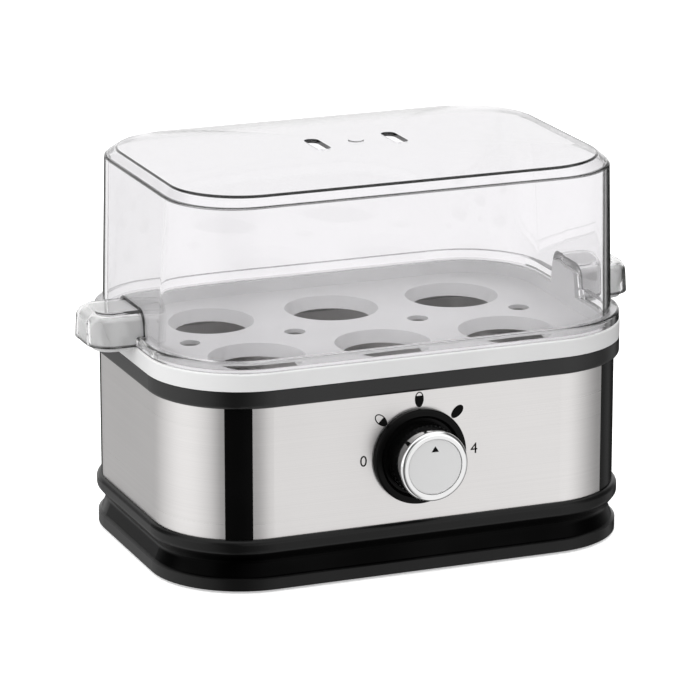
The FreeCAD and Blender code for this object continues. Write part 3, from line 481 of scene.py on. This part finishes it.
def next_loop(shape, edges, old, new):
    """Carries a loop on from its old form to a new one, corner by corner."""
    grown = bmesh.ops.extrude_edge_only(shape, edges=edges)["geom"]
    verts = [item for item in grown if isinstance(item, bmesh.types.BMVert)]
    for sign_x in (-1, 1):
        for sign_y in (-1, 1):
            corner = [vert for vert in verts
                      if vert.co.x * sign_x > 0 and (vert.co.y - middle_y) * sign_y > 0]
            centre = Vector((sign_x * (old[0] - old[2]), middle_y + sign_y * (old[1] - old[2]), old[3]))
            target = Vector((sign_x * (new[0] - new[2]), middle_y + sign_y * (new[1] - new[2]), new[3]))
            share = new[2] / old[2]
            bmesh.ops.scale(shape, verts=corner, vec=(share, share, 1), space=Matrix.Translation(-centre))
            bmesh.ops.translate(shape, verts=corner, vec=target - centre)
    return [item for item in grown if isinstance(item, bmesh.types.BMEdge)]


def sweep_loops(shape, edges, forms):
    """Loops through a list of forms, starting from the loop of the first one."""
    loops = [edges]
    for old, new in zip(forms, forms[1:]):
        loops.append(next_loop(shape, loops[-1], old, new))
    return loops


def round_loop(shape, edges, offset, tint=0.0):
    """Rounds a loop of edges; a tint marks its front and sides with painted shade, a dark line of the clear
    moulding.
    """
    rounded = bmesh.ops.bevel(shape, geom=edges, offset=offset, segments=round_steps, profile=0.5,
                              affect="EDGES", clamp_overlap=True, material=-1)["faces"]
    if tint:
        layer = shape.faces.layers.float[edge_layer]
        for face in rounded:
            behind = face.calc_center_median().y - middle_y > half_y * rear_share
            face[layer] = 0.0 if behind else tint


def close_mesh(shape, name, finish, body=None):
    """Puts a finished shape on the scene, as a piece that rides on a body or as a bare tool."""
    bmesh.ops.recalc_face_normals(shape, faces=shape.faces)
    mesh = bpy.data.meshes.new(name)
    shape.to_mesh(mesh)
    shape.free()
    if finish:
        mesh.materials.append(finish)
    piece = bpy.data.objects.new(name, mesh)
    bpy.context.scene.collection.objects.link(piece)
    if body:
        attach(piece, body)
    return piece


def combine(piece, tool, operation):
    """Joins a tool to a piece or cuts the piece with it, and removes the tool."""
    change = piece.modifiers.new("form", "BOOLEAN")
    change.operation = operation
    change.solver = "EXACT"
    change.object = tool
    bpy.context.view_layer.update()
    formed = piece.evaluated_get(bpy.context.evaluated_depsgraph_get())
    piece.data = bpy.data.meshes.new_from_object(formed)
    piece.modifiers.clear()
    bpy.data.objects.remove(tool)


def soften(piece):
    """Smooth shading with crisp edges, weighted so that flat walls stay flat."""
    piece.data.shade_smooth()
    piece.data.set_sharp_from_angle(angle=sharp_angle)
    weighting = piece.modifiers.new("normals", "WEIGHTED_NORMAL")
    weighting.keep_sharp = True


def lid_forms(inset, roof, low):
    """Forms of the lid's wall, shoulder and dome from the foot up, inside a wall and a roof of plastic."""
    foot_x, foot_y = half_x - foot_inset - inset, half_y - foot_inset - inset
    foot_radius = corner_radius - foot_inset - inset
    climb = (low - lid_low.z) / wall_height
    top_radius = wall_radius - inset
    wall_top = lid_low.z + wall_height - (inset + roof) / 4
    low_radius = foot_radius + (top_radius - foot_radius) * climb
    forms = [(foot_x - lid_draft * climb, foot_y - lid_draft * climb, low_radius, low)]
    forms.append((foot_x - lid_draft, foot_y - lid_draft, top_radius, wall_top))
    crown_inset = foot_inset + lid_draft + shoulder_width + roof * bend_share
    crown_x, crown_y = half_x - crown_inset, half_y - crown_inset
    crown_z = lid_low.z + wall_height + shoulder_height - roof
    for share in (1.0,) + dome_shares:
        rise = dome_rise * (1 - share ** dome_power)
        forms.append((crown_x * share, crown_y * share, (crown_radius - roof) * share, crown_z + rise))
    return forms


def lid_shell():
    """Closed shell of the lid: rim flange, tapered wall, shoulder and dome, inside and out."""
    shape = bmesh.new()
    rim_x, rim_y = half_x - rim_inset, half_y - rim_inset
    rim_radius = corner_radius - rim_inset
    rim_top = lid_low.z + rim_height
    rim_foot = (rim_x, rim_y, rim_radius, lid_low.z)
    foot = first_loop(shape, rim_foot)
    outer_forms = [rim_foot, (rim_x, rim_y, rim_radius, rim_top)] + lid_forms(0.0, 0.0, rim_top)
    outer = sweep_loops(shape, foot, outer_forms)
    inner = sweep_loops(shape, foot, [rim_foot] + lid_forms(lid_wall, lid_roof, lid_low.z))
    for loops in (outer, inner):
        bmesh.ops.contextual_create(shape, geom=loops[-1])
    shape.faces.layers.float.new(edge_layer)
    round_loop(shape, outer[1], rim_round)
    # Painted shade: dark lines on the outer wall top, the crown and one inner edge
    round_loop(shape, outer[3], wall_round, wall_edge_shade)
    round_loop(shape, outer[4], crown_round, crown_edge_shade)
    round_loop(shape, inner[2], inner_round, inner_edge_shade)
    round_loop(shape, inner[3], inner_round)
    return shape


def grip_block(side, inset, inner, low):
    """Rounded block of a handle, drawn in by an inset, from an inner end out to its tip."""
    shape = bmesh.new()
    verts = bmesh.ops.create_cube(shape, size=1.0)["verts"]
    reach = lid_high.x - inset
    half = hood_half_width - inset
    top = lid_low.z + hood_height - inset
    bmesh.ops.scale(shape, verts=verts, vec=(reach - inner, 2 * half, top - low))
    bmesh.ops.translate(shape, verts=verts, vec=((reach + inner) / 2, middle_y, (top + low) / 2))
    upper = [vert for vert in verts if vert.co.z > lid_low.z + hood_height / 2]
    to_middle = Matrix.Translation((0, -middle_y, 0))
    bmesh.ops.scale(shape, verts=upper, vec=(1, (half - hood_draft) / half, 1), space=to_middle)
    tip = [edge for edge in shape.edges if min(vert.co.x for vert in edge.verts) > reach - mm]
    upright = [edge for edge in tip if abs(edge.verts[0].co.z - edge.verts[1].co.z) > mm]
    bmesh.ops.bevel(shape, geom=upright, offset=hood_plan_radius - inset, segments=hood_steps, profile=0.5,
                    affect="EDGES", material=-1)
    crest = [edge for edge in shape.edges if min(vert.co.z for vert in edge.verts) > top - mm / 10]
    crest = [edge for edge in crest if max(vert.co.x for vert in edge.verts) > inner + mm]
    bmesh.ops.bevel(shape, geom=crest, offset=hood_top_radius - inset, segments=hood_steps, profile=0.5,
                    affect="EDGES", material=-1)
    if side < 0:
        bmesh.ops.scale(shape, verts=shape.verts, vec=(-1, 1, 1))
    return close_mesh(shape, "grip_block", None)


def vent_block(x):
    """Cutter for one steam slot through the dome; its faces carry full painted shade onto the slot's walls.
    """
    shape = bmesh.new()
    verts = bmesh.ops.create_cube(shape, size=1.0)["verts"]
    depth = 4 * lid_wall
    bmesh.ops.scale(shape, verts=verts, vec=(vent_width, vent_length, depth))
    bmesh.ops.translate(shape, verts=verts, vec=(x, middle_y, lid_high.z - depth / 4))
    upright = [edge for edge in shape.edges if abs(edge.verts[0].co.z - edge.verts[1].co.z) > mm]
    bmesh.ops.bevel(shape, geom=upright, offset=vent_width * vent_end_share, segments=hood_steps,
                    profile=0.5, affect="EDGES", material=-1)
    # Painted shade: the cut leaves these faces as dark slot walls
    layer = shape.faces.layers.float.new(edge_layer)
    for face in shape.faces:
        face[layer] = 1.0
    return close_mesh(shape, "vent_block", None)


def gate_mark():
    """Low round mark that the moulding gate leaves in the middle of the dome."""
    shape = bmesh.new()
    turned = bmesh.ops.create_cone(shape, cap_ends=True, segments=gate_sides, radius1=gate_radius,
                                   radius2=gate_radius, depth=lid_wall)["verts"]
    bmesh.ops.translate(shape, verts=turned, vec=(0, middle_y, lid_high.z - lid_wall / 2))
    top = [edge for edge in shape.edges if min(vert.co.z for vert in edge.verts) > lid_high.z - mm / 10]
    round_loop(shape, top, gate_height / 2)
    return close_mesh(shape, "gate_mark", None)


def make_lid():
    """The whole lid as one moulding, in place of its solid."""
    lid = close_mesh(lid_shell(), "clear_lid", finishes["clear_plastic"], "lid")
    wall_middle = half_x - foot_inset - lid_wall / 2
    for side in (-1, 1):
        combine(lid, grip_block(side, 0.0, wall_middle - lid_wall / 4, lid_low.z), "UNION")
    for side in (-1, 1):
        hollow = grip_block(side, lid_wall, wall_middle - 2 * lid_wall, lid_low.z - lid_wall)
        combine(lid, hollow, "DIFFERENCE")
    for x in (-vent_spacing / 2, vent_spacing / 2):
        combine(lid, vent_block(x), "DIFFERENCE")
    combine(lid, gate_mark(), "UNION")
    soften(lid)
    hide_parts("lid_cover")


def raise_print(shape, name, body, front, spot):
    """Stands a flat print up on a front face at a spot, and gives it the thickness of ink."""
    bmesh.ops.recalc_face_normals(shape, faces=shape.faces)
    bmesh.ops.rotate(shape, verts=shape.verts, matrix=Matrix.Rotation(math.radians(90), 3, "X"))
    bmesh.ops.translate(shape, verts=shape.verts, vec=(spot[0], front, spot[1]))
    raised = bmesh.ops.extrude_face_region(shape, geom=shape.faces[:], use_keep_orig=True)["geom"]
    lifted = [item for item in raised if isinstance(item, bmesh.types.BMVert)]
    bmesh.ops.translate(shape, verts=lifted, vec=(0, -print_lift, 0))
    return close_mesh(shape, name, finishes["black_ink"], body)


def egg_face(shape):
    """Flat egg as one face, blunt end up."""
    made = bmesh.ops.create_circle(shape, cap_ends=True, segments=egg_sides, radius=1.0)["verts"]
    bmesh.ops.scale(shape, verts=made, vec=(egg_width / 2, egg_width / 2, 1))
    pointed = [vert for vert in made if vert.co.y < 0]
    blunt = [vert for vert in made if vert.co.y > 0]
    for verts, share in ((pointed, 1 - blunt_share), (blunt, blunt_share)):
        bmesh.ops.scale(shape, verts=verts, vec=(1, share * egg_length / (egg_width / 2), 1))


def egg_mark(name, turn, fill_share):
    """Printed egg: an outline whose lower share is filled, set round the knob at an angle."""
    shape = bmesh.new()
    egg_face(shape)
    low = min(vert.co.y for vert in shape.verts)
    level = low + egg_length * fill_share
    if fill_share < 1:
        bmesh.ops.inset_individual(shape, faces=shape.faces[:], thickness=egg_line, use_even_offset=True)
        middle = [face for face in shape.faces if len(face.verts) > 4]
        parts = middle + [edge for face in middle for edge in face.edges]
        parts += [vert for face in middle for vert in face.verts]
        bmesh.ops.bisect_plane(shape, geom=parts, plane_co=(0, level, 0), plane_no=(0, 1, 0))
        above = [face for face in shape.faces
                 if len(face.verts) > 5 and face.calc_center_median().y > level]
        bmesh.ops.delete(shape, geom=above, context="FACES_ONLY")
    bmesh.ops.translate(shape, verts=shape.verts, vec=(0, mark_circle, 0))
    spin = Matrix.Rotation(math.radians(-turn), 3, "Z")
    bmesh.ops.rotate(shape, verts=shape.verts, matrix=spin)
    raise_print(shape, name, "root", panel_front, (0, knob_z))


def digit_mark(name, text, x):
    """Plain printed number beside the knob."""
    curve = bpy.data.curves.new(name, "FONT")
    curve.body = text
    curve.size = digit_height * digit_em
    curve.align_x, curve.align_y = "CENTER", "CENTER"
    writer = bpy.data.objects.new(name + "_text", curve)
    bpy.context.scene.collection.objects.link(writer)
    bpy.context.view_layer.update()
    flat = bpy.data.meshes.new_from_object(writer.evaluated_get(bpy.context.evaluated_depsgraph_get()))
    bpy.data.objects.remove(writer)
    shape = bmesh.new()
    shape.from_mesh(flat)
    bmesh.ops.remove_doubles(shape, verts=shape.verts, dist=mm / 1000)
    raise_print(shape, name, "root", panel_front, (x, knob_z))


def pointer_mark():
    """Small triangle on the cap that shows where the knob points."""
    shape = bmesh.new()
    corners = bmesh.ops.create_circle(shape, cap_ends=True, segments=3, radius=pointer_size / 2)["verts"]
    bmesh.ops.scale(shape, verts=corners, vec=(pointer_stretch, 1, 1))
    bmesh.ops.translate(shape, verts=corners, vec=(0, pointer_circle, 0))
    raise_print(shape, "cap_pointer", "knob", cap_low.y, (0, knob_z))


def make_print():
    for name, turn, fill_share in egg_marks:
        egg_mark(name, turn, fill_share)
    digit_mark("off_mark", "0", -mark_circle - egg_line)
    digit_mark("full_mark", "4", mark_circle + egg_line)
    pointer_mark()


def make_floor():
    """Pale floor that is lit by itself and that gloss, clear plastic and bounced light don't see."""
    grid = bmesh.new()
    bmesh.ops.create_grid(grid, x_segments=1, y_segments=1, size=floor_half)
    mesh = bpy.data.meshes.new("floor")
    grid.to_mesh(mesh)
    grid.free()
    floor = bpy.data.objects.new("floor", mesh)
    bpy.context.scene.collection.objects.link(floor)
    finish = Finish("pale_floor", {"Roughness": 0.9, "Specular IOR Level": 0.1,
                                   "Emission Strength": floor_glow, "Emission Color": grey(1.0)})
    cloud = finish.noise(floor_cloud_scale)
    finish.drive("Base Color", cloud.ramp([(0.0, grey(0.95)), (1.0, grey(0.97))]))
    mesh.materials.append(finish.material)
    floor.visible_glossy = False
    floor.visible_diffuse = False
    floor.visible_transmission = False


def panel_stops(panels):
    """Ramp stops from (azimuth in degrees, level) pairs, azimuth 0 to the front and 90 to the right."""
    return [(0.5 + azimuth / 360, grey(level)) for azimuth, level in panels]


def make_world():
    """White for the eye, even light for the surfaces, and bright and dark studio panels for gloss."""
    world = bpy.data.worlds.new("studio")
    bpy.context.scene.world = world
    world.use_nodes = True
    world.cycles.sampling_method = "NONE"
    start = Shade(world.node_tree)
    spot = start.node("ShaderNodeTexCoord", output="Generated")
    x, y, z = spot.parts()
    turn = start.maths("ARCTAN2", x, 0 - y) * (0.5 / math.pi) + 0.5
    low = turn.ramp(panel_stops(low_panels))
    high = turn.ramp(panel_stops(high_panels))
    lift = z.over(*high_band)
    roof = z.over(*roof_band)
    glow = 1 + (1 - z.over(*horizon_band)) * horizon_gain
    studio = (low * (1 - lift) + high * glow * lift) * (1 - roof) + roof * roof_level
    rise = z.over(*ground_band)
    even = (z * sky_gain + sky_level) * rise + (1 - rise) * ground_level - x * side_gain
    depth = start.node("ShaderNodeLightPath", output="Diffuse Depth")
    lit = start.maths("MINIMUM", depth, 1.0)
    camera = start.node("ShaderNodeLightPath", output="Is Camera Ray")
    through = start.node("ShaderNodeLightPath", output="Is Transmission Ray") * (1 - rise)
    studio = studio * (1 - through) + through * backdrop_level
    seen = even * lit + studio * (1 - lit)
    level = camera + seen * (1 - camera)
    back = world.node_tree.nodes["Background"]
    world.node_tree.links.new(level.socket, back.inputs["Color"])


def make_camera():
    """The photograph's view, fitted to the outline of the object."""
    lens = bpy.data.cameras.new("view")
    lens.sensor_width = view_sensor
    lens.lens = view_lens
    lens.clip_start, lens.clip_end = view_clip
    camera = bpy.data.objects.new("view", lens)
    bpy.context.scene.collection.objects.link(camera)
    back = Vector((math.sin(view_azimuth), -math.cos(view_azimuth), 0)) * math.cos(view_elevation)
    back.z = math.sin(view_elevation)
    camera.location = view_spot
    camera.rotation_mode = "QUATERNION"
    camera.rotation_quaternion = (-back).to_track_quat("-Z", "Y")
    bpy.context.scene.camera = camera


def set_picture():
    """Plain colours, and enough bounces to see through every wall of the lid."""
    scene = bpy.context.scene
    scene.view_settings.view_transform = "Standard"
    scene.cycles.use_denoising = True
    scene.cycles.max_bounces = 24
    scene.cycles.transmission_bounces = 20
    scene.cycles.transparent_max_bounces = 16
    scene.cycles.glossy_bounces = 16
    scene.cycles.sample_clamp_indirect = 8.0


finishes = make_finishes()
dress_solids()
make_lid()
make_print()
make_floor()
make_world()
make_camera()
set_picture()
